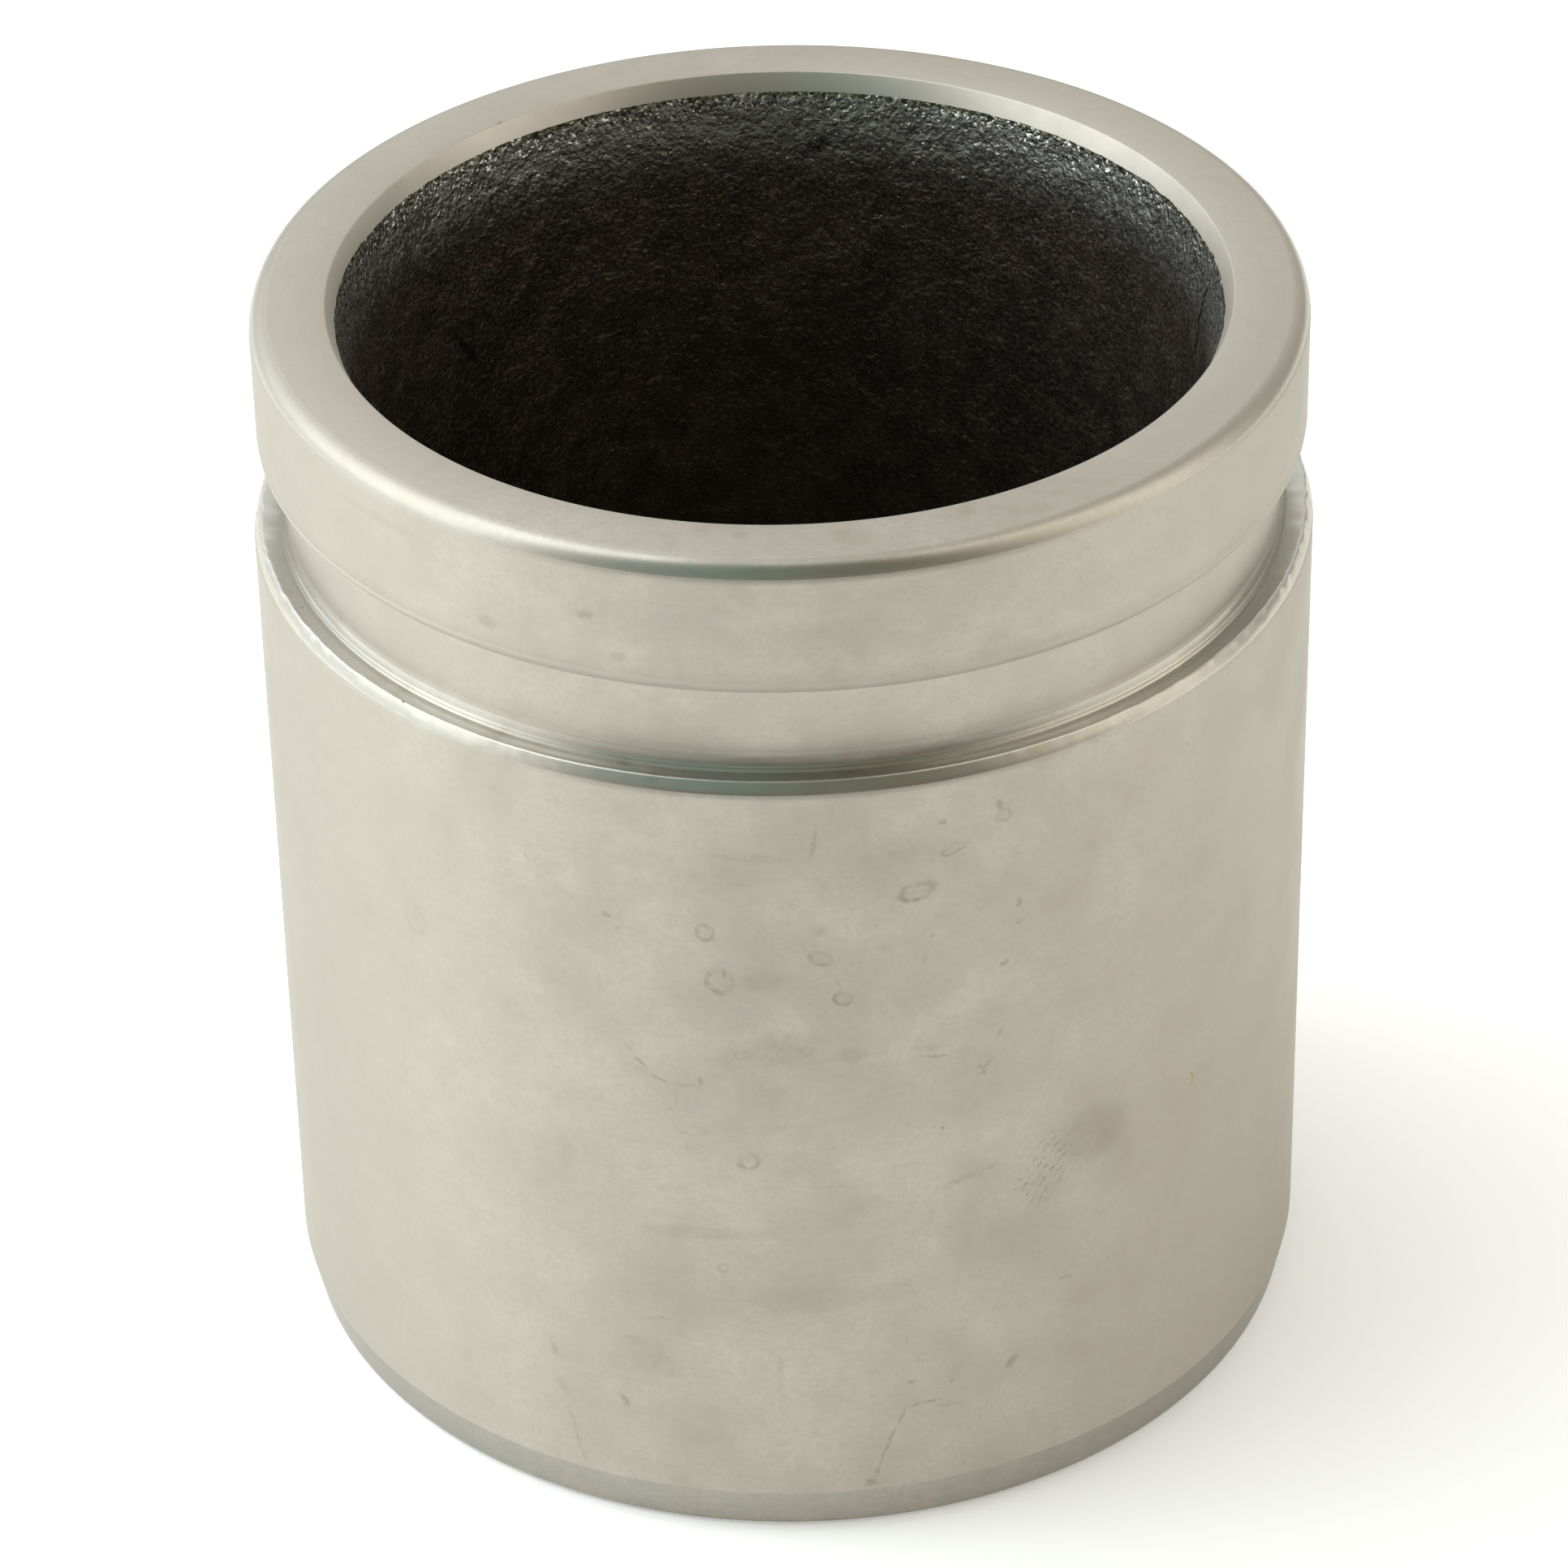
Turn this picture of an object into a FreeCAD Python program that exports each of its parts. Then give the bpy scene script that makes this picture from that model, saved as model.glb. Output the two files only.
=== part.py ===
import FreeCAD, Part
import math
import os

# Brake caliper piston: a steel cup in one piece, turned at both ends and ground on its wall.
# It stands on its closed end. The origin is the centre of that end's face, and +Z runs along
# the piston's axis to the open rim. Every face is round about +Z, so the solid is one half
# section turned once about the axis. All sizes are in millimetres.

# Overall size
body_diameter = 48.0
overall_height = 52.0

# Walls of the cup, and the round corner between its straight wall and its flat floor
wall_thickness = 4.2
closed_end_thickness = 7.5
floor_corner_radius = 5.0

# Steep chamfer that opens the mouth of the cup
mouth_chamfer_width = 0.4
mouth_chamfer_height = 0.85

# Collar that holds the boot's lip, set back from the ground wall, with its chamfered rim
collar_setback = 0.4
collar_height = 6.55
collar_lower_radius = 0.5
rim_chamfer_width = 0.4
rim_chamfer_height = 0.72
rim_blend_radius = 0.5

# Boot groove under the collar, cut below the ground wall, and the steep step down to its ledge
groove_depth = 1.5
groove_width = 4.1
step_width = 0.2
step_height = 0.55
ledge_dip = 0.15

# Shoulder chamfer between the ledge and the ground wall
shoulder_chamfer_width = 0.33
shoulder_chamfer_height = 0.63

# Lead-in taper that passes the bore's seal first, and the chamfered edge of the closed end
lead_in_width = 0.42
lead_in_height = 2.3
end_chamfer = 0.3

# Radii that follow from the sizes above, counted in from the ground wall
body_radius = body_diameter / 2
bore_radius = body_radius - wall_thickness
mouth_radius = bore_radius + mouth_chamfer_width
collar_radius = body_radius - collar_setback
rim_radius = collar_radius - rim_chamfer_width
groove_floor_radius = body_radius - groove_depth
step_radius = groove_floor_radius + step_width
ledge_radius = body_radius - shoulder_chamfer_width
end_radius = body_radius - lead_in_width

# Heights that follow from the sizes above, counted down from the rim
collar_bottom = overall_height - collar_height
ledge_height = collar_bottom - groove_width
step_foot = ledge_height - ledge_dip
wall_top = ledge_height - shoulder_chamfer_height


def corner(radius, height, rounding=0.0):
    """One corner of the half section, with the radius that rounds it off."""
    return FreeCAD.Vector(radius, 0, height), rounding


def end_corners():
    """Closed end, from the axis out to the foot of the ground wall."""
    return [
        corner(0, 0),
        corner(end_radius - end_chamfer, 0),
        corner(end_radius, end_chamfer),
        corner(body_radius, lead_in_height),
    ]


def groove_corners():
    """Shoulder, ledge and boot groove, up to the underside of the collar."""
    return [
        corner(body_radius, wall_top),
        corner(ledge_radius, ledge_height),
        corner(step_radius, step_foot),
        corner(groove_floor_radius, step_foot + step_height),
        corner(groove_floor_radius, collar_bottom),
    ]


def collar_corners():
    """Collar and rim, in to the edge of the mouth."""
    return [
        corner(collar_radius, collar_bottom, collar_lower_radius),
        corner(collar_radius, overall_height - rim_chamfer_height),
        corner(rim_radius, overall_height, rim_blend_radius),
        corner(mouth_radius, overall_height),
    ]


def cup_corners():
    """Inside of the cup, from its mouth down to the middle of the floor."""
    return [
        corner(bore_radius, overall_height - mouth_chamfer_height),
        corner(bore_radius, closed_end_thickness, floor_corner_radius),
        corner(0, closed_end_thickness),
    ]


def rounded(before, point, after, rounding):
    """Start, middle and end of the arc that rounds a corner, limited by its shorter side."""
    to_before = before - point
    to_after = after - point
    half_angle = to_before.getAngle(to_after) / 2
    half_side = min(to_before.Length, to_after.Length) / 2
    tangent = min(rounding / math.tan(half_angle), half_side)
    radius = tangent * math.tan(half_angle)
    inward = to_before / to_before.Length + to_after / to_after.Length
    inward = inward / inward.Length
    start = point + to_before * (tangent / to_before.Length)
    middle = point + inward * (radius / math.sin(half_angle) - radius)
    end = point + to_after * (tangent / to_after.Length)
    return [start, middle, end]


def corner_points(corners, index):
    """Points where the outline passes one corner: the corner itself, or its rounding arc's three."""
    point, rounding = corners[index]
    if rounding == 0:
        return [point]
    before = corners[index - 1][0]
    after = corners[(index + 1) % len(corners)][0]
    return rounded(before, point, after, rounding)


def half_section(corners):
    """Flat face inside a closed outline of tangent arcs, each followed by its straight run."""
    passes = [corner_points(corners, index) for index in range(len(corners))]
    edges = []
    for index, points in enumerate(passes):
        if len(points) > 1:
            edges.append(Part.Arc(*points).toShape())
        next_points = passes[(index + 1) % len(passes)]
        edges.append(Part.LineSegment(points[-1], next_points[0]).toShape())
    return Part.Face(Part.Wire(edges))


def build_piston():
    """The whole piston, turned once about its axis."""
    corners = end_corners() + groove_corners() + collar_corners() + cup_corners()
    axis = FreeCAD.Vector(0, 0, 1)
    return half_section(corners).revolve(FreeCAD.Vector(0, 0, 0), axis, 360)


os.makedirs("parts", exist_ok=True)
piston = build_piston()
piston.exportStep("parts/piston.step")
print("piston valid:", piston.isValid(), "volume mm3:", round(piston.Volume, 1))
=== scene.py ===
import math

import bmesh
import bpy
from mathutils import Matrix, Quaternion, Vector, noise


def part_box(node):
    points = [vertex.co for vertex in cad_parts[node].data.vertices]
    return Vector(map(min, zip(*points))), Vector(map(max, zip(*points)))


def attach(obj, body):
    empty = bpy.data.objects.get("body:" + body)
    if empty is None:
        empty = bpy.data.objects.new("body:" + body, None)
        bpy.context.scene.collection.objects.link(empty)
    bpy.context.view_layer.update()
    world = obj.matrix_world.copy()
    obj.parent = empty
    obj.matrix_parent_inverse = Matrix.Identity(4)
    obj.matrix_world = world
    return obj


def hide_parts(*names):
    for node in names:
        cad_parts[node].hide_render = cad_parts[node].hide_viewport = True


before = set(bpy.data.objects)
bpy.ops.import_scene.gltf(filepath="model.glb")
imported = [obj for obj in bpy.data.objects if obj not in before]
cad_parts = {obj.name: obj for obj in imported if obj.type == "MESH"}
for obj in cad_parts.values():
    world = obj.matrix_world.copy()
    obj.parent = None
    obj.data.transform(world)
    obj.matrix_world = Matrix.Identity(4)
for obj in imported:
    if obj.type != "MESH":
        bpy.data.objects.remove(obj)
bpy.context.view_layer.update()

# Brake caliper piston: a steel cup, ground outside, turned at its open end, with dark forging scale
# inside. Lengths are written in millimetres, and the scene is in metres. Angles round the piston are
# in degrees, with 0 facing the camera and + to its right.
MM = 0.001
low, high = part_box("piston")
body_radius = (high.x - low.x) / 2 / MM
piston_height = (high.z - low.z) / MM

# Cup
bore_radius = body_radius - 4.2
cup_floor_height = 7.5
cup_corner_radius = 5.0
mouth_chamfer_width = 0.4
mouth_chamfer_height = 0.85
lip_width = 0.62
lip_height = 3.6
relief_start = 0.4

# Collar and rim
collar_radius = body_radius - 0.4
collar_height = 6.55
collar_lower_round = 0.75
rim_chamfer_width = 0.4
rim_chamfer_height = 0.72
rim_blend = 0.5
rim_width = 0.75
groove_fillet = 0.3

# Boot groove, with the ledge under it. The steep step between them is scored half way up, and the
# foot of the groove's floor leans out to meet it.
groove_radius = body_radius - 1.5
groove_width = 4.1
step_width = 0.135
step_height = 0.27
score_height = 0.05
lean_width = 0.155
lean_height = 0.46
lean_round = 0.15
ledge_dip = 0.15
ledge_round = 0.12

# Shoulder of the ground wall, a chamfer that rounds off into the wall
shoulder_width = 0.33
shoulder_height = 0.63
shoulder_round = 0.22
wall_middle = 20.0

# Foot of the wall
lead_in_width = 0.42
lead_in_height = 2.3
end_chamfer = 0.3

# Radii and heights that follow
collar_bottom = piston_height - collar_height
ledge_height = collar_bottom - groove_width
step_foot = ledge_height - ledge_dip
ledge_edge = body_radius - shoulder_width
step_top_radius = groove_radius + lean_width
step_edge = step_top_radius + step_width
score_radius = (step_top_radius + step_edge) / 2
score_foot = step_foot + (step_height - score_height) / 2
satin_foot = step_foot + step_height + lean_height - lean_round
wall_top = ledge_height - shoulder_height
mouth_foot = piston_height - mouth_chamfer_height

# Mesh density: strips round the piston, and the length of a row on the cup's wall, shown and deep
strips = 720
cup_row = 0.4
deep_row = 1.6
cup_seen_depth = 20.0
edge_break = 0.06

# Two places count as the same within this distance
close = 0.01


def section_corners():
    """Half section as (radius, height, length cut back for the round, or 0 for a sharp edge)."""
    return [
        (0, 0, 0),
        (body_radius - lead_in_width - end_chamfer, 0, edge_break),
        (body_radius - lead_in_width, end_chamfer, edge_break),
        (body_radius, lead_in_height, 0),
        (body_radius, wall_middle, 0),
        (body_radius, wall_top, shoulder_round),
        (ledge_edge, ledge_height, ledge_round),
        (step_edge, step_foot, 0),
        (score_radius, score_foot, 0),
        (score_radius, score_foot + score_height, 0),
        (step_top_radius, step_foot + step_height, 0),
        (groove_radius, step_foot + step_height + lean_height, lean_round),
        (groove_radius, collar_bottom, groove_fillet),
        (collar_radius, collar_bottom, collar_lower_round),
        (collar_radius, piston_height - rim_chamfer_height, shoulder_round),
        (collar_radius - rim_chamfer_width, piston_height, rim_blend),
        (bore_radius + mouth_chamfer_width, piston_height, edge_break),
        (bore_radius, mouth_foot, 0),
        (bore_radius, cup_floor_height, cup_corner_radius),
        (0, cup_floor_height, 0),
    ]


def segments_of(cut):
    """Short pieces that a round is made of, by the length that it cuts back."""
    for longest_cut, pieces in ((edge_break, 2), (0.25, 3), (1, 5)):
        if cut <= longest_cut:
            return pieces
    return 8


def rounded_section(bm):
    """Draws the half section as joined edges, with each corner rounded by a vertex bevel."""
    corners = section_corners()
    points = [bm.verts.new((radius * MM, 0, height * MM)) for radius, height, cut in corners]
    for start, end in zip(points, points[1:]):
        bm.edges.new((start, end))
    for point, (radius, height, cut) in zip(points, corners):
        if cut > 0:
            bmesh.ops.bevel(
                bm, geom=[point], offset=cut * MM, offset_type="OFFSET", affect="VERTICES",
                segments=segments_of(cut), profile=0.5, material=-1, clamp_overlap=True,
            )


def bore_lines(bm):
    """The section's upright edges on the cup's straight wall."""
    found = []
    for line in bm.edges:
        gaps = [abs(vert.co.x / MM - bore_radius) for vert in line.verts]
        if max(gaps) < close:
            found.append(line)
    return found


def divide_line(bm, top, bottom, row):
    """Cuts the edge of the cup's wall that runs between two heights into even rows."""
    for line in bore_lines(bm):
        low_end, high_end = sorted(vert.co.z / MM for vert in line.verts)
        if abs(low_end - bottom) < close and abs(high_end - top) < close:
            cuts = round((top - bottom) / row) - 1
            bmesh.ops.subdivide_edges(bm, edges=[line], cuts=cuts)


def row_cup_wall(bm):
    """Gives the cup's wall close rows where it is seen and wide ones in the deep part."""
    seen_end = mouth_foot - cup_seen_depth
    corner_top = cup_floor_height + cup_corner_radius
    wall = bore_lines(bm)[0]
    top_vert = max(wall.verts, key=lambda vert: vert.co.z)
    share = cup_seen_depth / (mouth_foot - corner_top)
    bmesh.utils.edge_split(wall, top_vert, share)
    divide_line(bm, mouth_foot, seen_end, cup_row)
    divide_line(bm, seen_end, corner_top, deep_row)


def cup_relief(point):
    """Height in millimetres of the scale's lumps and pits at a point of the cup's wall."""
    place = point / MM
    lumps = noise.fractal(place * 0.4, 1.0, 2.0, 3)
    grain = noise.fractal(place * 1.7, 0.8, 2.1, 3)
    return 0.06 * lumps + 0.05 * grain


def mouth_lip(height):
    """How far the wall leans in below the mouth, in millimetres, before it runs straight."""
    share = min(max((mouth_foot - height) / lip_height, 0), 1)
    return lip_width * (1 - (1 - share) ** 2) if share > 0 else 0


def roughen_cup(bm):
    """Moves the cup's surface by the relief of its scale, and leans its wall in below the mouth."""
    bm.normal_update()
    moves = []
    for vert in bm.verts:
        radius = math.hypot(vert.co.x, vert.co.y) / MM
        height = vert.co.z / MM
        if radius > bore_radius + close or height < cup_floor_height - close:
            continue
        if radius < close:
            continue
        hold = min(max((mouth_foot - height) / relief_start, 0), 1)
        relief = cup_relief(vert.co) * hold
        inward = -Vector((vert.co.x, vert.co.y, 0)).normalized() * mouth_lip(height)
        wall_share = 1 if height > cup_floor_height + cup_corner_radius else 0
        moves.append((vert, vert.normal * relief + inward * wall_share))
    for vert, move in moves:
        vert.co += move * MM


# Turned edges that came out ragged, as (radius, height, slope of the edge's wander, how far)
ragged_edges = [
    (ledge_edge, ledge_height, 0.4, 0.08),
    (bore_radius, mouth_foot, 2.1, 0.09),
]
tear_rate = 1.2


def tear_edges(bm):
    """Lets the ragged edges wander by up to a tenth of a millimetre, most at the two sides."""
    for edge_radius, edge_height, slope, reach in ragged_edges:
        for vert in bm.verts:
            radius = math.hypot(vert.co.x, vert.co.y) / MM
            height = vert.co.z / MM
            if math.hypot(radius - edge_radius, height - edge_height) > ledge_round + close:
                continue
            at_side = (vert.co.x / MM / edge_radius) ** 2
            wander = noise.fractal(vert.co / MM * tear_rate, 0.7, 2.1, 3) * reach * at_side
            out = Vector((vert.co.x, vert.co.y, 0)).normalized()
            along = (out + Vector((0, 0, slope))).normalized()
            vert.co += along * wander * MM


# Numbers of the finishes, in the order in which dress_piston adds their materials
lower, upper, collar, turned, satin, mouth, ledge, step, edge, rim, foot, scale = range(12)


def finish_of(face):
    """Number of the material that a face takes, from the finishes above."""
    centre = face.calc_center_median() / MM
    radius = math.hypot(centre.x, centre.y)
    if radius < bore_radius and centre.z > cup_floor_height - 1:
        return scale
    mouth_top = piston_height - edge_break / 2
    if radius < bore_radius + mouth_chamfer_width and mouth_foot < centre.z < mouth_top:
        return mouth
    if satin_foot < centre.z < collar_bottom and radius < step_edge:
        return satin
    if step_foot < centre.z < ledge_height and step_edge < radius < ledge_edge:
        return ledge
    if lead_in_height < centre.z < wall_top and radius > groove_radius:
        return lower if centre.z < wall_middle else upper
    if wall_top < centre.z < satin_foot:
        return step
    if centre.z < lead_in_height:
        return foot
    if collar_bottom + collar_lower_round < centre.z < piston_height - rim_chamfer_height:
        return collar if radius > groove_radius else turned
    if centre.z > piston_height - rim_chamfer_height and radius > collar_radius - rim_width:
        return rim
    if collar_bottom - close < centre.z < collar_bottom + collar_lower_round:
        return edge if radius > groove_radius else turned
    return turned


def sharpen_rings(bm):
    """Marks the rings that the section's corners without a round leave."""
    corners = [(radius, height) for radius, height, cut in section_corners() if cut == 0]
    for line in bm.edges:
        start, end = [vert.co / MM for vert in line.verts]
        if abs(start.z - end.z) > close / 10:
            continue
        radius = math.hypot(start.x, start.y)
        gaps = [math.hypot(radius - other, start.z - height) for other, height in corners]
        line.smooth = min(gaps) > close / 2


def piston_mesh():
    """The whole piston, spun once from its half section."""
    bm = bmesh.new()
    rounded_section(bm)
    row_cup_wall(bm)
    bmesh.ops.spin(
        bm, geom=bm.verts[:] + bm.edges[:], axis=(0, 0, 1), cent=(0, 0, 0),
        angle=math.tau, steps=strips, use_merge=True,
    )
    bmesh.ops.remove_doubles(bm, verts=bm.verts, dist=0.0001 * MM)
    bmesh.ops.recalc_face_normals(bm, faces=bm.faces)
    for face in bm.faces:
        face.smooth = True
        face.material_index = finish_of(face)
    sharpen_rings(bm)
    roughen_cup(bm)
    tear_edges(bm)
    mesh = bpy.data.meshes.new("piston_dressed")
    bm.to_mesh(mesh)
    bm.free()
    return mesh


class Finish:
    """Node tree of one material, with short calls for the nodes that its patterns use."""

    def __init__(self, name):
        self.material = bpy.data.materials.new(name)
        self.material.use_nodes = True
        self.tree = self.material.node_tree
        self.tree.nodes.clear()
        output = self.node("ShaderNodeOutputMaterial")
        self.shader = self.node("ShaderNodeBsdfPrincipled")
        self.tree.links.new(self.shader.outputs["BSDF"], output.inputs["Surface"])
        coordinates = self.node("ShaderNodeTexCoord")
        self.place = self.node("ShaderNodeMapping").outputs["Vector"]
        mapping = self.place.node
        mapping.inputs["Scale"].default_value = (1 / MM, 1 / MM, 1 / MM)
        self.tree.links.new(coordinates.outputs["Object"], mapping.inputs["Vector"])
        split = self.node("ShaderNodeSeparateXYZ")
        self.tree.links.new(self.place, split.inputs["Vector"])
        self.x, self.y, self.height = split.outputs
        flat = self.join(self.x, self.y, 0)
        self.radius = self.vector("LENGTH", flat, result="Value")
        self.across = self.math("ADD", self.radius, self.height)

    def node(self, kind, **settings):
        made = self.tree.nodes.new(kind)
        for name, value in settings.items():
            setattr(made, name, value)
        return made

    def feed(self, socket, value):
        if isinstance(value, bpy.types.NodeSocket):
            self.tree.links.new(value, socket)
        else:
            socket.default_value = value

    def math(self, operation, first, second=0.0, clamp=False):
        made = self.node("ShaderNodeMath", operation=operation, use_clamp=clamp)
        self.feed(made.inputs[0], first)
        self.feed(made.inputs[1], second)
        return made.outputs["Value"]

    def vector(self, operation, first, second=(0, 0, 0), result="Vector"):
        made = self.node("ShaderNodeVectorMath", operation=operation)
        self.feed(made.inputs[0], first)
        self.feed(made.inputs[1], second)
        return made.outputs[result]

    def join(self, x, y, z):
        made = self.node("ShaderNodeCombineXYZ")
        for socket, value in zip(made.inputs, (x, y, z)):
            self.feed(socket, value)
        return made.outputs["Vector"]

    def noise(self, place, scale, detail=2.0, roughness=0.5):
        made = self.node("ShaderNodeTexNoise")
        self.feed(made.inputs["Vector"], place)
        made.inputs["Scale"].default_value = scale
        made.inputs["Detail"].default_value = detail
        made.inputs["Roughness"].default_value = roughness
        return made.outputs["Fac"]

    def remap(self, value, low_in, high_in, low_out=0.0, high_out=1.0, smooth=True):
        made = self.node("ShaderNodeMapRange")
        made.interpolation_type = "SMOOTHSTEP" if smooth else "LINEAR"
        self.feed(made.inputs["Value"], value)
        made.inputs["From Min"].default_value = low_in
        made.inputs["From Max"].default_value = high_in
        made.inputs["To Min"].default_value = low_out
        made.inputs["To Max"].default_value = high_out
        return made.outputs["Result"]

    def blend(self, share, first, second, mode="MIX"):
        made = self.node("ShaderNodeMix", data_type="RGBA", blend_type=mode)
        self.feed(made.inputs["Factor"], share)
        self.feed(made.inputs["A"], first)
        self.feed(made.inputs["B"], second)
        return made.outputs["Result"]

    def bump(self, height, depth, base=None):
        made = self.node("ShaderNodeBump")
        made.inputs["Distance"].default_value = depth * MM
        made.inputs["Strength"].default_value = 1.0
        self.feed(made.inputs["Height"], height)
        if base is not None:
            self.feed(made.inputs["Normal"], base)
        return made.outputs["Normal"]

    def turning_lines(self, period, waver=0.05):
        """Fine lines that run round the piston, on its walls and its flat faces alike."""
        along_x = self.math("MULTIPLY", self.x, waver)
        along_y = self.math("MULTIPLY", self.y, waver)
        place = self.join(along_x, along_y, self.across)
        return self.noise(place, 1 / period, detail=3.0, roughness=0.6)

    def wall_place(self, wave=0.15):
        """Place on the unrolled wall: length round it from the front, and height, a little wavy."""
        back = self.math("MULTIPLY", self.y, -1.0)
        turn = self.math("ARCTAN2", self.x, back)
        length = self.math("MULTIPLY", turn, body_radius)
        wave_x = self.remap(self.noise(self.place, 2.2), 0.0, 1.0, -wave, wave, smooth=False)
        wave_z = self.remap(self.noise(self.place, 2.4), 0.0, 1.0, -wave, wave, smooth=False)
        return self.join(self.math("ADD", length, wave_x), self.math("ADD", self.height, wave_z), 0)

    def oval(self, place, direction, height, half_width, half_height, lean):
        """Distance from an oval's centre on the unrolled wall, 1 on its outline."""
        made = self.node("ShaderNodeMapping", vector_type="TEXTURE")
        self.feed(made.inputs["Vector"], place)
        made.inputs["Location"].default_value = (math.radians(direction) * body_radius, height, 0)
        made.inputs["Rotation"].default_value = (0, 0, math.radians(lean))
        made.inputs["Scale"].default_value = (half_width, half_height, 1)
        return made.outputs["Vector"]

    def circular_tangent(self):
        """Direction round the piston's axis, which the tool lines follow."""
        back = self.math("MULTIPLY", self.y, -1.0)
        return self.vector("NORMALIZE", self.join(back, self.x, 0))


ground_colour = (0.500, 0.462, 0.394, 1)
satin_colour = (0.490, 0.452, 0.385, 1)
turned_colour = (0.545, 0.515, 0.450, 1)
mouth_colour = (0.665, 0.625, 0.550, 1)
ledge_colour = (0.640, 0.640, 0.610, 1)
# The collar's lower round is painted: a shaded colour at its foot, a lighter one at its top
edge_shade_colour = (0.470, 0.430, 0.370, 1)
edge_lit_colour = (0.560, 0.515, 0.440, 1)
rim_colour = (0.510, 0.480, 0.415, 1)
# Painted shade: the lead-in is darker where it mirrors the floor's contact shadow
foot_shade_colour = (0.400, 0.375, 0.330, 1)
stained_colour = (0.440, 0.390, 0.320, 1)
# Colour of the marks, also used for painted shade on the right side of the wall and at the foot of the
# collar
mark_and_shade_colour = (0.22, 0.185, 0.14, 1)
grazing_tint = (0.80, 0.79, 0.77, 1)

# Marks on the ground wall as (direction, height, half width, half height, lean, strength).
# Dried drops leave a thin outline.
drop_marks = [
    (13.0, 35.3, 0.90, 0.50, 8, 0.42),
    (-9.0, 33.6, 0.42, 0.48, 25, 0.34),
    (-7.6, 31.1, 0.66, 0.70, -8, 0.36),
    (2.9, 32.3, 0.56, 0.38, -18, 0.38),
    (5.1, 30.1, 0.46, 0.36, -25, 0.36),
    (20.4, 25.6, 0.45, 0.36, 30, 0.24),
    (-5.1, 21.4, 0.56, 0.52, 20, 0.34),
    (-11.1, 22.9, 0.80, 0.34, -6, 0.20),
    (-10.6, 21.9, 0.50, 0.30, 0, 0.18),
    (-8.0, 15.3, 0.28, 0.28, 0, 0.26),
    (22.4, 38.4, 0.46, 0.34, 30, 0.30),
    (17.0, 37.2, 0.70, 0.26, 15, 0.26),
    (-5.4, 27.2, 0.40, 0.30, 0, 0.14),
    (1.2, 27.4, 0.34, 0.30, 0, 0.16),
    (-43.9, 30.2, 0.68, 0.94, 20, 0.10),
]
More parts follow.
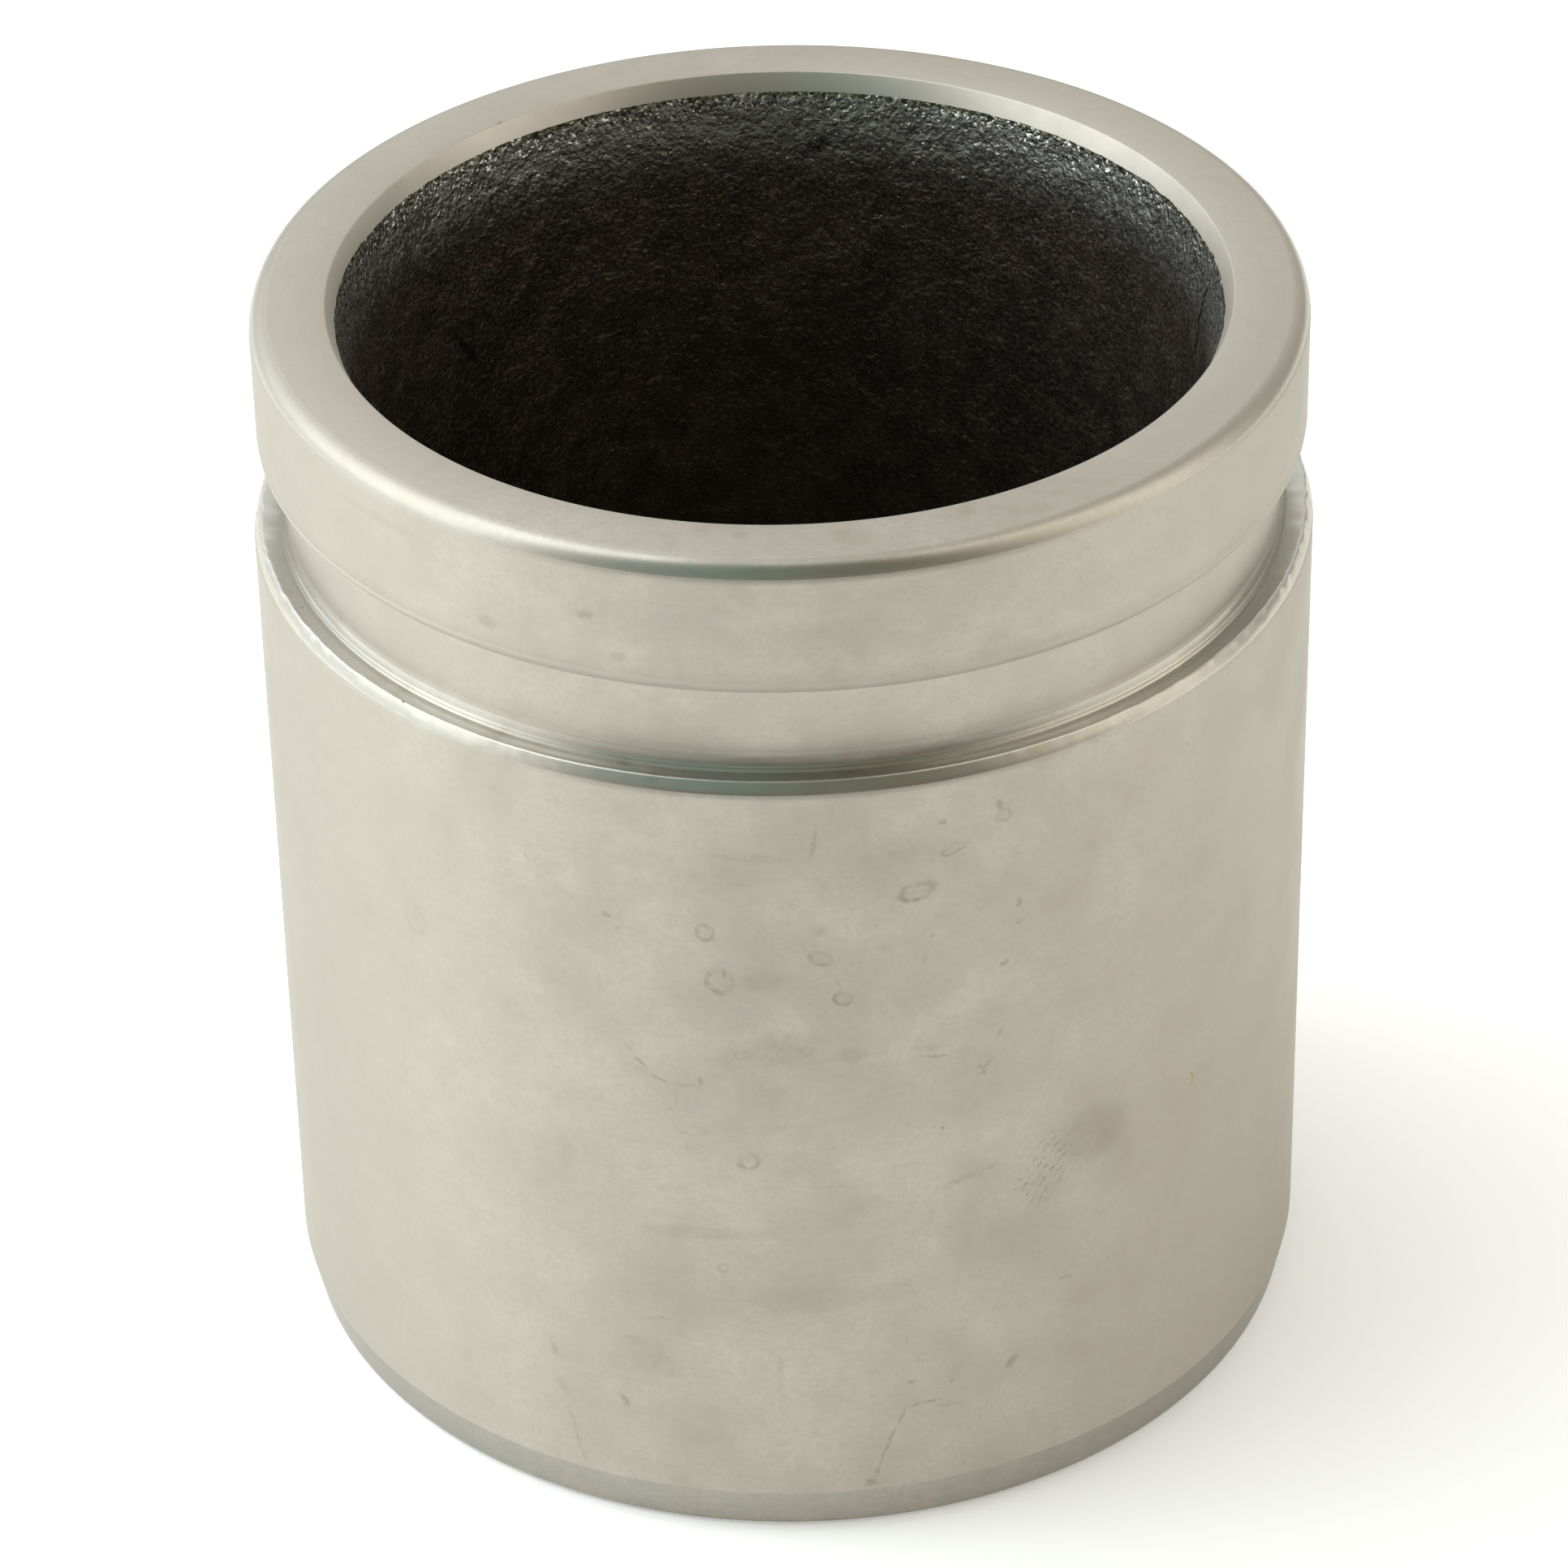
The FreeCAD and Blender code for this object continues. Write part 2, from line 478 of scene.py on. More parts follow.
# Dots, dashes, scratches and runs are dark all through.
dark_marks = [
    (14.4, 26.9, 1.15, 0.24, -4, 0.14),
    (14.5, 26.4, 1.05, 0.09, -10, 0.34),
    (-19.5, 33.9, 0.28, 0.19, -10, 0.46),
    (-18.3, 33.3, 0.16, 0.14, 0, 0.40),
    (-21.3, 32.0, 0.10, 0.10, 0, 0.40),
    (-20.9, 31.0, 0.12, 0.10, 0, 0.20),
    (-10.2, 34.5, 0.14, 0.70, 35, 0.18),
    (-7.0, 31.3, 0.10, 0.55, 0, 0.30),
    (4.6, 30.9, 0.09, 0.50, 20, 0.22),
    (15.75, 38.7, 0.26, 0.24, 0, 0.42),
    (10.7, 37.5, 0.30, 0.22, 0, 0.24),
    (14.6, 32.9, 0.16, 0.16, 0, 0.34),
    (13.6, 31.7, 0.24, 0.24, 0, 0.22),
    (3.0, 33.8, 0.46, 0.42, 0, 0.14),
    (-8.5, 34.0, 0.40, 0.30, 0, 0.12),
    (9.6, 32.6, 0.30, 0.16, 0, 0.16),
    (11.6, 32.8, 0.40, 0.16, 0, 0.14),
    (22.6, 30.6, 0.34, 0.20, 15, 0.40),
    (24.0, 36.2, 0.24, 0.12, 0, 0.22),
    (24.2, 33.6, 0.22, 0.34, 0, 0.34),
    (24.2, 32.6, 0.24, 0.24, 0, 0.28),
    (20.3, 25.0, 0.10, 0.34, 0, 0.30),
    (22.0, 26.9, 0.30, 0.14, 35, 0.28),
    (19.8, 24.9, 0.34, 0.07, 0, 0.26),
    (15.6, 22.4, 0.10, 0.10, 0, 0.95),
    (12.1, 8.3, 0.34, 0.16, 0, 0.38),
    (16.5, 7.9, 0.12, 0.18, 0, 0.42),
    (23.6, 8.2, 0.60, 0.30, 40, 0.40),
    (2.4, 38.4, 0.14, 1.10, -8, 0.26),
    (21.9, 39.0, 0.22, 0.44, 25, 0.34),
    (-17.6, 27.0, 0.42, 0.07, -48, 0.40),
    (-16.3, 26.3, 0.62, 0.08, -42, 0.46),
    (-14.4, 25.5, 0.66, 0.08, -22, 0.42),
    (-11.6, 25.3, 0.80, 0.07, 3, 0.30),
    (-9.9, 25.6, 0.20, 0.30, 0, 0.34),
    (-17.2, 25.8, 1.10, 0.50, 0, 0.10),
    (-13.2, 23.9, 0.30, 0.12, 0, 0.22),
    (-12.6, 24.5, 0.14, 0.80, 0, 0.12),
    (-27.8, 8.9, 0.24, 0.60, 20, 0.24),
    (-27.2, 6.9, 0.34, 0.80, 30, 0.14),
    (-25.6, 4.4, 0.12, 1.60, 14, 0.26),
    (-24.6, 3.0, 0.16, 0.50, 14, 0.26),
    (-19.6, 6.9, 0.22, 0.50, 30, 0.42),
    (-16.0, 9.4, 1.40, 0.90, 20, 0.14),
    (-13.6, 9.0, 0.80, 0.40, 30, 0.18),
    (-18.4, 10.6, 0.60, 0.24, 0, 0.18),
    (-15.4, 12.0, 0.70, 0.12, 10, 0.24),
    (-2.2, 9.0, 0.26, 2.30, 0, 0.16),
    (10.9, 6.4, 0.16, 0.60, -20, 0.34),
    (9.3, 4.8, 0.12, 1.50, -20, 0.36),
    (7.4, 2.7, 0.34, 0.34, 0, 0.44),
    (8.2, 3.4, 0.12, 0.60, -25, 0.40),
    (13.6, 7.0, 1.10, 0.12, 4, 0.34),
    (16.2, 6.6, 0.90, 0.20, -8, 0.30),
    (-30.4, 16.0, 0.10, 0.70, -20, 0.14),
    (30.0, 12.0, 0.44, 0.10, -6, 0.34),
    (-28.4, 36.1, 0.06, 1.00, 4, 0.18),
    (18.6, 19.4, 1.90, 0.26, 14, 0.20),
    (-4.6, 37.6, 2.40, 0.30, -3, 0.16),
    (-0.6, 23.2, 1.60, 0.24, 0, 0.12),
    (6.5, 19.8, 3.20, 0.16, -3, 0.10),
]
# Wide soft smears, with the collar's at the end. The widest, at 40 degrees, is painted shade that darkens
# the whole right side of the wall.
smear_and_shade_marks = [
    (33.0, 19.6, 2.70, 2.00, 0, 0.26),
    (36.5, 18.0, 1.40, 2.60, 0, 0.10),
    (27.0, 17.8, 1.60, 1.40, -30, 0.08),
    (-2.0, 27.4, 1.60, 1.30, 0, 0.18),
    (-3.6, 25.2, 1.40, 1.70, 0, 0.12),
    (5.9, 27.0, 0.90, 0.60, 0, 0.18),
    (-3.4, 31.2, 1.10, 0.80, 0, 0.14),
    (-6.0, 26.8, 1.00, 1.10, 0, 0.10),
    (-1.0, 29.0, 5.50, 8.00, 0, 0.07),
    (-8.0, 14.0, 5.50, 3.50, 0, 0.10),
    (4.0, 13.6, 5.00, 0.90, 3, 0.10),
    (-10.0, 17.2, 4.00, 0.50, 3, 0.12),
    (-18.0, 9.5, 2.40, 2.60, 0, 0.10),
    (10.0, 36.0, 5.50, 3.60, 0, 0.08),
    (19.0, 30.0, 5.00, 5.00, 0, 0.05),
    (20.0, 14.5, 6.00, 4.00, 0, 0.07),
    # Painted shade over the right side of the wall, not a smear
    (40.0, 20.0, 9.50, 26.0, 0, 0.12),
    (-21.0, 48.9, 0.60, 0.32, 0, 0.30),
    (-32.4, 47.3, 0.75, 0.40, 0, 0.22),
    (-17.4, 47.1, 0.44, 0.30, 0, 0.26),
    (-47.0, 50.2, 3.60, 0.30, 0, 0.10),
]
finger_mark = (27.2, 18.6, 1.50, 2.30, -24, 0.34)
fibre_mark = (48.4, 19.5, 0.07, 0.62, 8, 0.75)
fibre_colour = (0.40, 0.33, 0.08, 1)


def marks_on(finish, place, marks, inner, outer):
    """Sum of soft ovals, each 1 at its inner share of the half size and 0 at the outer one."""
    total = 0.0
    for direction, height, half_width, half_height, lean, strength in marks:
        oval = finish.oval(place, direction, height, half_width, half_height, lean)
        reach = finish.vector("LENGTH", oval, result="Value")
        mask = finish.remap(reach, inner, outer, strength, 0.0)
        total = finish.math("ADD", mask, total)
    return total


def between(marks, bottom, top):
    """The marks that reach into the part of the wall between two heights."""
    kept = []
    for mark in marks:
        reach = 1.2 * max(mark[2], mark[3]) + 0.3
        if bottom - reach < mark[1] < top + reach:
            kept.append(mark)
    return kept


def drops_on(finish, place, drops):
    """Sum of thin oval outlines of dried drops, each strongest at its foot."""
    total = 0.0
    for direction, height, half_width, half_height, lean, strength in drops:
        oval = finish.oval(place, direction, height, half_width, half_height, lean)
        reach = finish.vector("LENGTH", oval, result="Value")
        off_line = finish.math("ABSOLUTE", finish.math("SUBTRACT", reach, 0.85))
        rise = finish.vector("DOT_PRODUCT", oval, (0.45, 0.9, 0), result="Value")
        foot = finish.remap(rise, -0.8, 0.8, 1.1 * strength, 0.5 * strength)
        mask = finish.math("MULTIPLY", finish.remap(off_line, 0.05, 0.34, 1.0, 0.0), foot)
        film = finish.remap(reach, 0.7, 1.0, 0.2 * strength, 0.0)
        total = finish.math("ADD", finish.math("ADD", mask, film), total)
    return total


def finger_print(finish, place):
    """Broken ridges of one finger print."""
    reach = finish.vector("LENGTH", finish.oval(place, *finger_mark[:5]), result="Value")
    centre = finish.vector("LENGTH", finish.oval(place, 38.0, 14.5, 1.0, 1.0, 0), result="Value")
    ridges = finish.math("SINE", finish.math("MULTIPLY", centre, math.tau / 0.40))
    broken = finish.remap(finish.noise(place, 3.4, detail=1.0), 0.45, 0.55)
    dashes = finish.math("MULTIPLY", finish.remap(ridges, 0.0, 0.8), broken)
    return finish.math("MULTIPLY", dashes, finish.remap(reach, 0.6, 1.1, finger_mark[5], 0.0))


def bare_steel(name, colour, roughness, line_period, line_depth, metallic=1.0, marked=None):
    """Bare steel with clouded stains, lines round the axis, and the marks between two heights, with
    painted shade among the marks, at the foot of the collar's wall and on its lower round.
    """
    finish = Finish(name)
    clouds = finish.noise(finish.place, 0.22, detail=4.0, roughness=0.6)
    mottle = finish.noise(finish.place, 0.9, detail=5.0, roughness=0.7)
    specks = finish.noise(finish.place, 3.6, detail=3.0, roughness=0.6)
    lines = finish.turning_lines(line_period)
    front = finish.remap(finish.y, -22.0, -12.0, 1.0, 0.35)
    stain = finish.math("MULTIPLY", finish.remap(clouds, 0.38, 0.70), finish.remap(mottle, 0.4, 0.7))
    tint = finish.blend(finish.math("MULTIPLY", stain, front), colour, stained_colour)
    worn = finish.remap(mottle, 0.3, 0.7, -0.060, 0.055, smooth=False)
    worn = finish.math("ADD", worn, finish.remap(specks, 0.3, 0.7, -0.030, 0.030, smooth=False))
    worn = finish.math("MULTIPLY", worn, front)
    grain = finish.math("ADD", worn, finish.remap(lines, 0.3, 0.7, 0.990, 1.012))
    tint = finish.blend(1.0, tint, finish.join(grain, grain, grain), "MULTIPLY")
    if marked:
        place = finish.wall_place()
        dark = marks_on(finish, place, between(dark_marks, *marked), 0.4, 1.0)
        dark = finish.math("ADD", dark, drops_on(finish, place, between(drop_marks, *marked)))
        if between([finger_mark], *marked):
            dark = finish.math("ADD", dark, finger_print(finish, place))
        faint = finish.remap(finish.noise(finish.place, 2.6, detail=2.0), 0.35, 0.6, 0.35, 1.0)
        dark = finish.math("MULTIPLY", dark, faint)
        # Painted shade: the collar's wall darkens towards its lower edge, above the groove
        if name == "collar_wall":
            rise = finish.remap(finish.height, collar_bottom + 0.6, collar_bottom + 1.5, 0.14, 0.0)
            dark = finish.math("ADD", dark, rise)
        # The smears include the painted shade over the right side of the wall
        smears_and_shade = marks_on(finish, place, between(smear_and_shade_marks, *marked), 0.3, 1.1)
        dark = finish.math("ADD", dark, smears_and_shade)
        tint = finish.blend(finish.math("MINIMUM", dark, 1.0), tint, mark_and_shade_colour)
        fibre = marks_on(finish, place, between([fibre_mark], *marked), 0.6, 1.0)
        tint = finish.blend(fibre, tint, fibre_colour)
    elif name in ("ledge_steel", "turned_steel"):
        tint = finish.blend(pits_on(finish), tint, pit_colour)
    elif name == "shaded_edge_steel":
        # Painted shade: darker at the foot of the collar's lower round, lighter towards its top
        rise = finish.remap(finish.height, collar_bottom + 0.35, collar_bottom + collar_lower_round)
        tint = finish.blend(rise, tint, edge_lit_colour)
    finish.feed(finish.shader.inputs["Base Color"], tint)
    rough = finish.remap(clouds, 0.3, 0.7, roughness - 0.02, roughness + 0.03)
    finish.feed(finish.shader.inputs["Roughness"], rough)
    finish.feed(finish.shader.inputs["Normal"], finish.bump(lines, line_depth))
    finish.feed(finish.shader.inputs["Tangent"], finish.circular_tangent())
    finish.shader.inputs["Specular Tint"].default_value = grazing_tint
    finish.shader.inputs["Metallic"].default_value = metallic
    finish.shader.inputs["Anisotropic"].default_value = 0.85
    finish.shader.inputs["Anisotropic Rotation"].default_value = 0.25
    return finish.material


# Specks of dirt on the turned edges as (direction, radius, height, half size)
pit_colour = (0.07, 0.05, 0.04, 1)
edge_pits = [
    (-72.7, 22.72, 41.22, 0.10),
    (-78.1, 22.72, 41.22, 0.08),
    (-87.2, 22.60, 41.45, 0.10),
    (-88.7, 22.60, 41.45, 0.08),
    (-75.9, 23.67, 41.35, 0.07),
    (-67.0, 23.20, 41.28, 0.06),
    (-44.5, 23.70, 41.30, 0.10),
    (-41.0, 22.75, 41.21, 0.10),
    (53.7, 22.72, 41.22, 0.10),
    (57.5, 22.72, 41.22, 0.10),
    (219.3, 20.20, 51.95, 0.13),
    (275.4, 19.95, 51.50, 0.10),
]


def pits_on(finish):
    """Share of dirt at the small specks on the turned edges."""
    total = 0.0
    for direction, radius, height, half_size in edge_pits:
        turn = math.radians(direction)
        centre = (radius * math.sin(turn), -radius * math.cos(turn), height)
        distance = finish.vector("DISTANCE", finish.place, centre, result="Value")
        mask = finish.remap(distance, half_size * 0.4, half_size * 1.2, 0.8, 0.0)
        total = finish.math("MAXIMUM", mask, total)
    return total


# Marks in the cup's scale: a crease down its right wall, a gouge on the left and a dent at the back
cup_marks = [
    (99.5, 47.6, 0.16, 3.60, 17, 1.00),
    (-130.0, 41.8, 0.30, 2.40, -41, 0.55),
    (174.0, 48.7, 1.00, 0.50, 0, 0.60),
]
deep_scale = (0.120, 0.106, 0.086, 1)
brown_scale = (0.180, 0.145, 0.118, 1)
# The lip's grey is painted sheen: lighter scale below the mouth, where light reaches in
lip_sheen_scale = (0.235, 0.230, 0.212, 1)
fringe_scale = (0.15, 0.16, 0.09, 1)
fleck_scale = (0.62, 0.60, 0.56, 1)
copper_fleck = (0.62, 0.40, 0.31, 1)
pit_scale = (0.012, 0.011, 0.010, 1)


def forging_scale():
    """Dark rough scale in the cup: sparkling under the mouth, with painted grey sheen on its lip band,
    and brown below.
    """
    finish = Finish("forging_scale")
    depth = finish.math("SUBTRACT", mouth_foot, finish.height)
    top = finish.remap(depth, 0.4, 1.4, 1.0, 0.0)
    # Painted sheen: the scale turns grey over the band below the mouth
    lip = finish.remap(depth, 1.4, 5.0, 1.0, 0.0)
    grain = finish.noise(finish.place, 4.2, detail=1.5, roughness=0.5)
    lumps = finish.noise(finish.place, 1.5, detail=3.0, roughness=0.55)
    flecks = finish.noise(finish.place, 4.4, detail=1.0, roughness=0.5)
    patches = finish.noise(finish.place, 0.5, detail=3.0)
    below = finish.blend(finish.remap(patches, 0.4, 0.62), deep_scale, brown_scale)
    colour = finish.blend(lip, below, lip_sheen_scale)
    under_mouth = finish.remap(depth, 0.08, 0.35, 1.0, 0.0)
    fringe = finish.math("MULTIPLY", under_mouth, finish.remap(lumps, 0.35, 0.5))
    colour = finish.blend(fringe, colour, fringe_scale)
    pits = finish.math("MULTIPLY", finish.remap(grain, 0.38, 0.50, 0.75, 0.0), top)
    colour = finish.blend(pits, colour, pit_scale)
    shine = finish.blend(lip, copper_fleck, fleck_scale)
    bright = finish.math("ADD", flecks, finish.math("MULTIPLY", top, 0.07))
    shown = finish.remap(depth, 4.0, 15.0, 1.0, 0.1)
    colour = finish.blend(finish.math("MULTIPLY", finish.remap(bright, 0.63, 0.68), shown), colour, shine)
    marks = marks_on(finish, finish.wall_place(0.04), cup_marks, 0.5, 1.0)
    colour = finish.blend(marks, colour, pit_scale)
    finish.feed(finish.shader.inputs["Base Color"], colour)
    finish.feed(finish.shader.inputs["Roughness"], finish.remap(flecks, 0.35, 0.65, 0.55, 0.26))
    rise = finish.math("MULTIPLY", grain, finish.math("ADD", finish.math("MULTIPLY", top, 0.15), 0.35))
    surface = finish.bump(rise, 0.22, finish.bump(lumps, 0.14))
    finish.feed(finish.shader.inputs["Normal"], surface)
    finish.shader.inputs["Metallic"].default_value = 0.9
    return finish.material


def dress_piston():
    """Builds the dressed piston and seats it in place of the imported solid."""
    piston = bpy.data.objects.new("piston_dressed", piston_mesh())
    bpy.context.scene.collection.objects.link(piston)
    finishes = piston.data.materials
    ground = (ground_colour, 0.40, 0.14, 0.002)
    finishes.append(bare_steel("lower_wall", *ground, marked=(0, wall_middle)))
    finishes.append(bare_steel("upper_wall", *ground, marked=(wall_middle, wall_top)))
    finishes.append(bare_steel("collar_wall", *ground, marked=(collar_bottom, piston_height)))
    finishes.append(bare_steel("turned_steel", turned_colour, 0.22, 0.10, 0.0012))
    finishes.append(bare_steel("satin_steel", satin_colour, 0.34, 0.12, 0.0015))
    finishes.append(bare_steel("mouth_steel", mouth_colour, 0.46, 0.12, 0.0015))
    finishes.append(bare_steel("ledge_steel", ledge_colour, 0.22, 0.10, 0.0012))
    finishes.append(bare_steel("step_steel", turned_colour, 0.17, 0.10, 0.0012))
    # The collar's lower round, with painted shade at its foot
    finishes.append(bare_steel("shaded_edge_steel", edge_shade_colour, 0.50, 0.14, 0.002, metallic=0.65))
    finishes.append(bare_steel("rim_steel", rim_colour, 0.23, 0.12, 0.0015))
    # Lead-in at the foot, darkened by painted shade
    finishes.append(bare_steel("shaded_foot_steel", foot_shade_colour, 0.30, 0.12, 0.0015))
    finishes.append(forging_scale())
    flat_shading = piston.modifiers.new("even_faces", "WEIGHTED_NORMAL")
    flat_shading.mode = "FACE_AREA"
    flat_shading.weight = 50
    flat_shading.keep_sharp = True
    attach(piston, "root")
    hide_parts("piston")
    return piston


def emission_material(name):
    """An empty glowing material, with its tree and its emission node."""
    material = bpy.data.materials.new(name)
    material.use_nodes = True
    tree = material.node_tree
    tree.nodes.clear()
    output = tree.nodes.new("ShaderNodeOutputMaterial")
    glow = tree.nodes.new("ShaderNodeEmission")
    tree.links.new(glow.outputs["Emission"], output.inputs["Surface"])
    return material, tree, glow


# Light tent: colour of the foot and the rest of its wall, by direction round the piston.
# The front is dark where the photographer stands.
tent_radius = 700.0
tent_top = 80.0
tent_change = (9.0, 17.0)
tent_low = [
    (-180, (0.68, 0.67, 0.64)),
    (-135, (1.14, 1.18, 1.23)),
    (-108, (1.28, 1.43, 1.52)),
    (-68, (1.14, 1.27, 1.36)),
    (-52, (0.82, 0.80, 0.75)),
    (-36, (0.22, 0.20, 0.16)),
    (-12, (0.10, 0.09, 0.08)),
    (14, (0.11, 0.07, 0.06)),
    (38, (0.15, 0.11, 0.10)),
    (60, (0.50, 0.47, 0.43)),
    (82, (1.22, 1.18, 1.08)),
    (98, (0.80, 0.78, 0.72)),
    (112, (0.50, 0.49, 0.45)),
    (132, (0.50, 0.49, 0.46)),
    (155, (0.64, 0.63, 0.60)),
    (180, (0.68, 0.67, 0.64)),
]
tent_high = [
    (-180, (0.79, 0.78, 0.74)),
    (-138, (1.18, 1.24, 1.28)),
    (-108, (1.94, 2.00, 2.00)),
    (-72, (1.84, 2.00, 2.00)),
    (-56, (0.97, 0.98, 0.94)),
    (-40, (0.34, 0.42, 0.42)),
    (-14, (0.24, 0.33, 0.30)),
    (6, (0.23, 0.25, 0.19)),
    (36, (0.20, 0.19, 0.15)),
    (58, (0.86, 0.82, 0.73)),
    (86, (1.30, 1.25, 1.13)),
    (102, (0.86, 0.83, 0.76)),
    (118, (0.52, 0.51, 0.47)),
    (136, (0.56, 0.55, 0.51)),
    (156, (0.78, 0.77, 0.74)),
    (180, (0.79, 0.78, 0.74)),
]


def direction_ramp(tree, share, stops_by_direction):
    """Colour that follows the direction round the piston, from a list of stops."""
    ramp = tree.nodes.new("ShaderNodeValToRGB")
    ramp.color_ramp.interpolation = "B_SPLINE"
    stops = ramp.color_ramp.elements
    for number, (direction, colour) in enumerate(stops_by_direction):
        position = (direction + 180) / 360
        stop = stops[number] if number < 2 else stops.new(position)
        stop.position = position
        stop.color = (*[channel / 2 for channel in colour], 1)
    tree.links.new(share, ramp.inputs["Fac"])
    return ramp.outputs["Color"]


def tent_material():
    """Glow of the tent's wall, which follows the direction round the piston and the height."""
    material, tree, glow = emission_material("tent_wall")
    coordinates = tree.nodes.new("ShaderNodeTexCoord")
    split = tree.nodes.new("ShaderNodeSeparateXYZ")
    tree.links.new(coordinates.outputs["Object"], split.inputs["Vector"])
    back = tree.nodes.new("ShaderNodeMath")
    back.operation = "MULTIPLY"
    back.inputs[1].default_value = -1.0
    tree.links.new(split.outputs["Y"], back.inputs[0])
    turn = tree.nodes.new("ShaderNodeMath")
    turn.operation = "ARCTAN2"
    tree.links.new(split.outputs["X"], turn.inputs[0])
    tree.links.new(back.outputs["Value"], turn.inputs[1])
    share = tree.nodes.new("ShaderNodeMapRange")
    share.inputs["From Min"].default_value = -math.pi
    share.inputs["From Max"].default_value = math.pi
    tree.links.new(turn.outputs["Value"], share.inputs["Value"])
    change = tree.nodes.new("ShaderNodeMapRange")
    change.interpolation_type = "SMOOTHSTEP"
    for socket, rise in zip(("From Min", "From Max"), tent_change):
        change.inputs[socket].default_value = tent_radius * math.tan(math.radians(rise)) * MM
    tree.links.new(split.outputs["Z"], change.inputs["Value"])
    blend = tree.nodes.new("ShaderNodeMix")
    blend.data_type = "RGBA"
    tree.links.new(change.outputs["Result"], blend.inputs["Factor"])
    low_colour = direction_ramp(tree, share.outputs["Result"], tent_low)
    high_colour = direction_ramp(tree, share.outputs["Result"], tent_high)
    tree.links.new(low_colour, blend.inputs[6])
    tree.links.new(high_colour, blend.inputs[7])
    tree.links.new(blend.outputs[2], glow.inputs["Color"])
    glow.inputs["Strength"].default_value = 2.2
    return material


def light_tent():
    """An open ring of lit cloth round the piston, which only lights and reflections meet."""
    tent_height = tent_radius * math.tan(math.radians(tent_top))
    bm = bmesh.new()
    bmesh.ops.create_circle(bm, cap_ends=False, segments=96, radius=tent_radius * MM)
    raised = bmesh.ops.extrude_edge_only(bm, edges=bm.edges[:])
    top_verts = [item for item in raised["geom"] if isinstance(item, bmesh.types.BMVert)]
    bmesh.ops.translate(bm, verts=top_verts, vec=(0, 0, tent_height * MM))
    mesh = bpy.data.meshes.new("light_tent")
    bm.to_mesh(mesh)
    bm.free()
    tent = bpy.data.objects.new("light_tent", mesh)
    bpy.context.scene.collection.objects.link(tent)
    tent.data.materials.append(tent_material())
    tent.visible_camera = False
    tent.visible_shadow = False


def seen_ray(tree):
    """1 for camera, glossy and transmission rays, and 0 for the rays that light the scene."""
    path = tree.nodes.new("ShaderNodeLightPath")
    total = path.outputs["Is Camera Ray"]
    for name in ("Is Glossy Ray", "Is Transmission Ray"):
        add = tree.nodes.new("ShaderNodeMath")
        add.operation = "MAXIMUM"
        tree.links.new(total, add.inputs[0])
        tree.links.new(path.outputs[name], add.inputs[1])
        total = add.outputs["Value"]
    return total


floor_colour = (0.95, 0.95, 0.93, 1)
floor_glow = 0.25


def pale_floor():
    """Plain white floor that keeps the piston's soft shadow."""
    bm = bmesh.new()
    bmesh.ops.create_grid(bm, x_segments=1, y_segments=1, size=3.0)
    mesh = bpy.data.meshes.new("pale_floor")
    bm.to_mesh(mesh)
    bm.free()
    floor = bpy.data.objects.new("pale_floor", mesh)
    bpy.context.scene.collection.objects.link(floor)
    material, tree, glow = emission_material("pale_floor")
    output = glow.outputs["Emission"].links[0].to_node
    paper = tree.nodes.new("ShaderNodeBsdfDiffuse")
    paper.inputs["Color"].default_value = floor_colour
    lift = tree.nodes.new("ShaderNodeMath")
    lift.operation = "MULTIPLY"
    lift.inputs[1].default_value = floor_glow
    tree.links.new(seen_ray(tree), lift.inputs[0])
    tree.links.new(lift.outputs["Value"], glow.inputs["Strength"])
    both = tree.nodes.new("ShaderNodeAddShader")
    tree.links.new(paper.outputs["BSDF"], both.inputs[0])
    tree.links.new(glow.outputs["Emission"], both.inputs[1])
    tree.links.new(both.outputs["Shader"], output.inputs["Surface"])
    floor.data.materials.append(material)


sky_level = 0.95


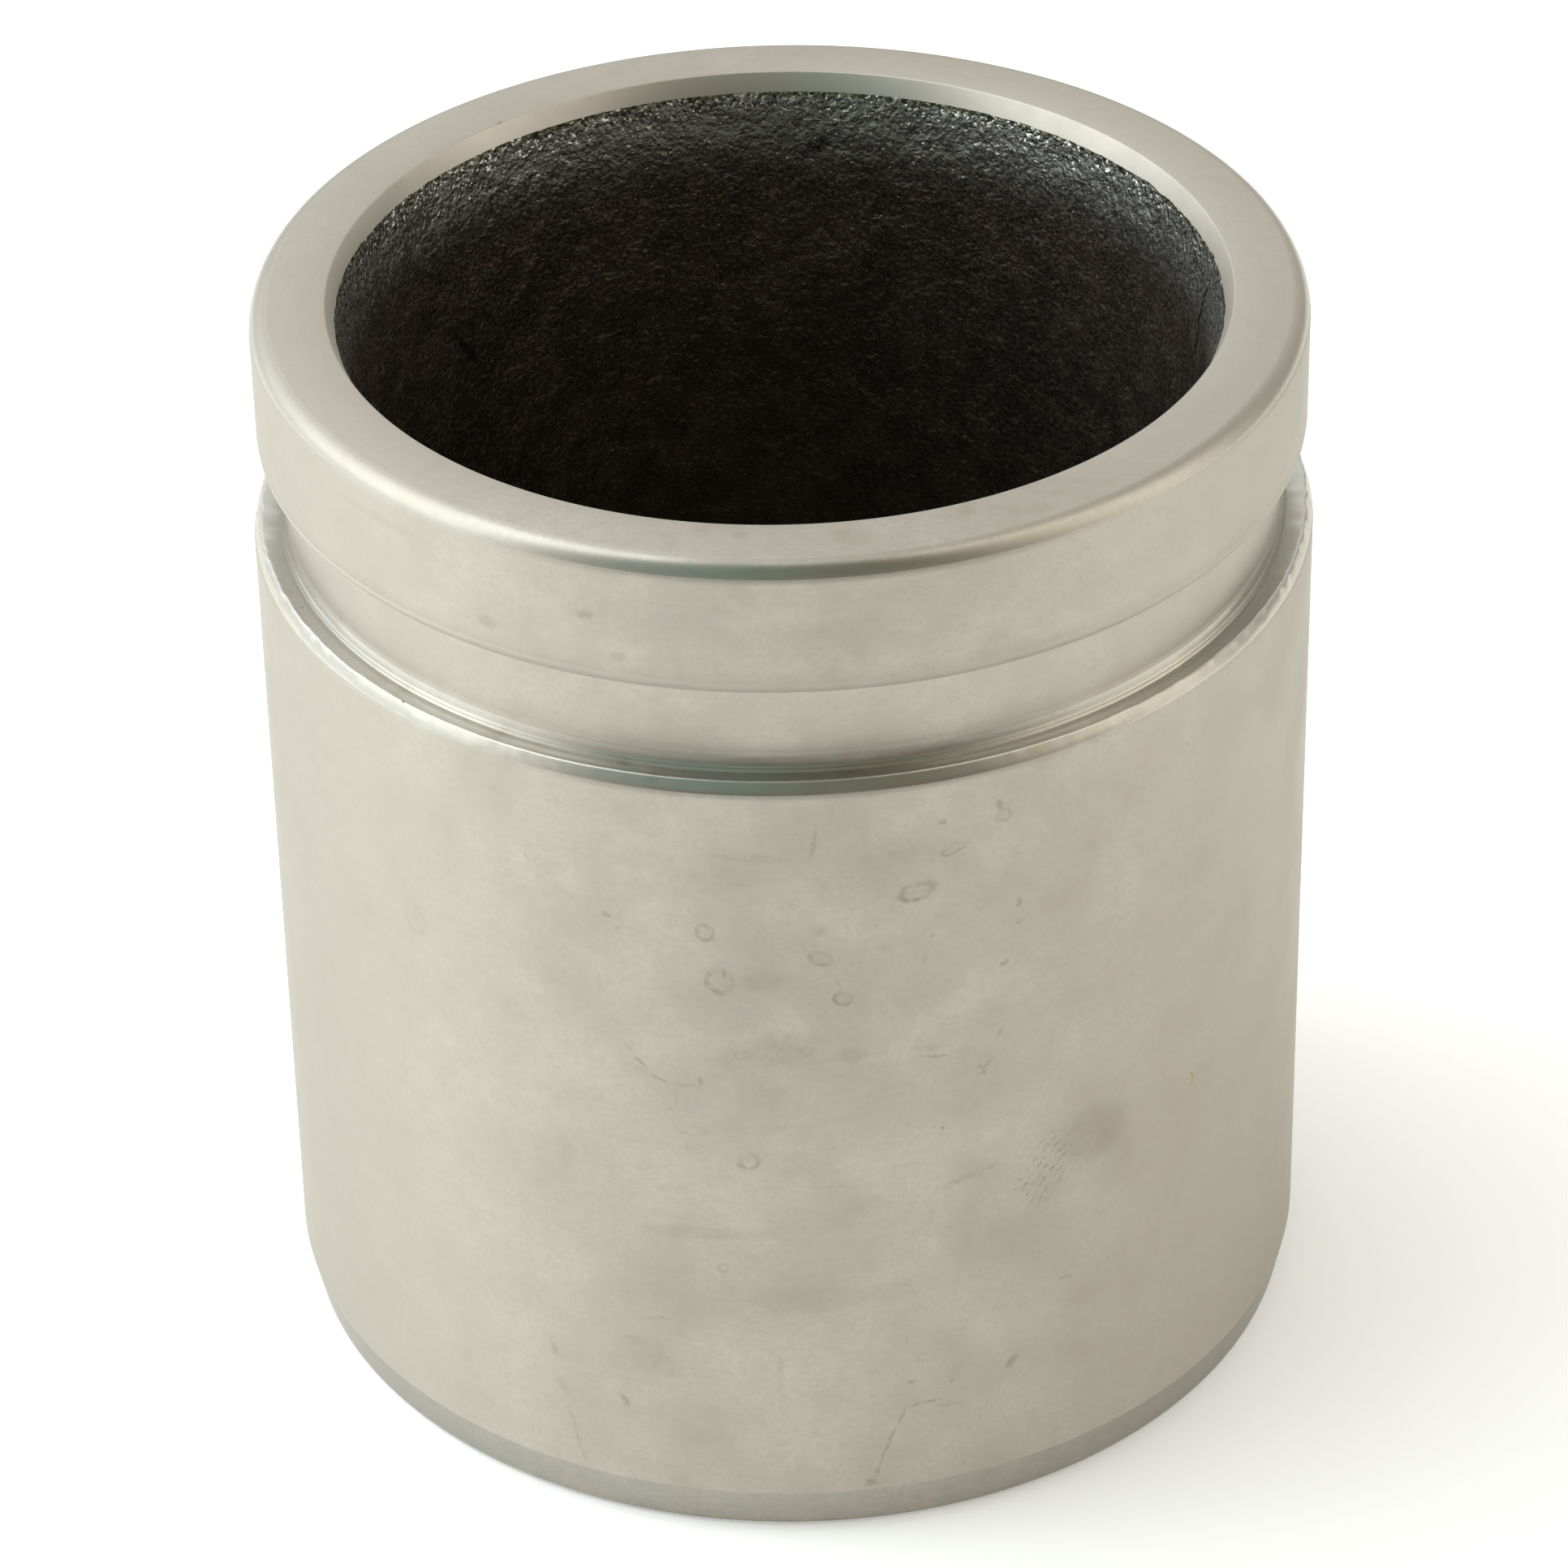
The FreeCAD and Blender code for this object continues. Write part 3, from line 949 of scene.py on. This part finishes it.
def white_world():
    """Plain white surroundings above the tent."""
    world = bpy.data.worlds.new("white_world")
    bpy.context.scene.world = world
    world.use_nodes = True
    tree = world.node_tree
    background = tree.nodes["Background"]
    background.inputs["Color"].default_value = (1, 1, 1, 1)
    level = tree.nodes.new("ShaderNodeMapRange")
    level.inputs["To Min"].default_value = sky_level
    level.inputs["To Max"].default_value = 1.0
    tree.links.new(seen_ray(tree), level.inputs["Value"])
    tree.links.new(level.outputs["Result"], background.inputs["Strength"])


# Lamps as (place, side, power in watts, colour): a wide one overhead, and a window near the left
lamps = {
    "ceiling_lamp": ((-520, 0, 1250), 1000, 2.9, (1.0, 0.99, 0.96)),
    "window_lamp": ((-260, 40, 230), 200, 0.38, (0.88, 0.99, 1.12)),
}


def soft_lamps():
    """Square lamps that light the floor and are not mirrored by the steel."""
    for name, (place, side, power, colour) in lamps.items():
        light = bpy.data.lights.new(name, "AREA")
        light.shape = "SQUARE"
        light.size = side * MM
        light.energy = power
        light.color = colour
        lamp = bpy.data.objects.new(name, light)
        bpy.context.scene.collection.objects.link(lamp)
        lamp.location = Vector(place) * MM
        aim = Vector((place[0] / 3, 0, 0))
        lamp.rotation_mode = "QUATERNION"
        lamp.rotation_quaternion = (aim * MM - lamp.location).to_track_quat("-Z", "Y")
        lamp.visible_glossy = False
        lamp.visible_camera = False


# Camera, from the photograph's view of the rim and the outline
camera_distance = 300.5
camera_elevation = 33.97
camera_roll = 1.2
camera_lens = 147.7
camera_aim = Vector((-0.24, -0.37, 25.45))


def place_camera():
    """Long lens from the front, looking down on the mouth."""
    camera = bpy.data.objects.new("camera", bpy.data.cameras.new("camera"))
    bpy.context.scene.collection.objects.link(camera)
    rise = math.radians(camera_elevation)
    back = Vector((0, -math.cos(rise), math.sin(rise)))
    camera.location = (Vector((0, 0, piston_height / 2)) + back * camera_distance) * MM
    look = camera_aim * MM - camera.location
    camera.rotation_mode = "QUATERNION"
    roll = Quaternion((0, 0, 1), -math.radians(camera_roll))
    camera.rotation_quaternion = look.to_track_quat("-Z", "Y") @ roll
    camera.data.lens = camera_lens
    camera.data.clip_start = 10 * MM
    bpy.context.scene.camera = camera


dress_piston()
pale_floor()
light_tent()
white_world()
soft_lamps()
place_camera()
bpy.context.scene.view_settings.view_transform = "Standard"
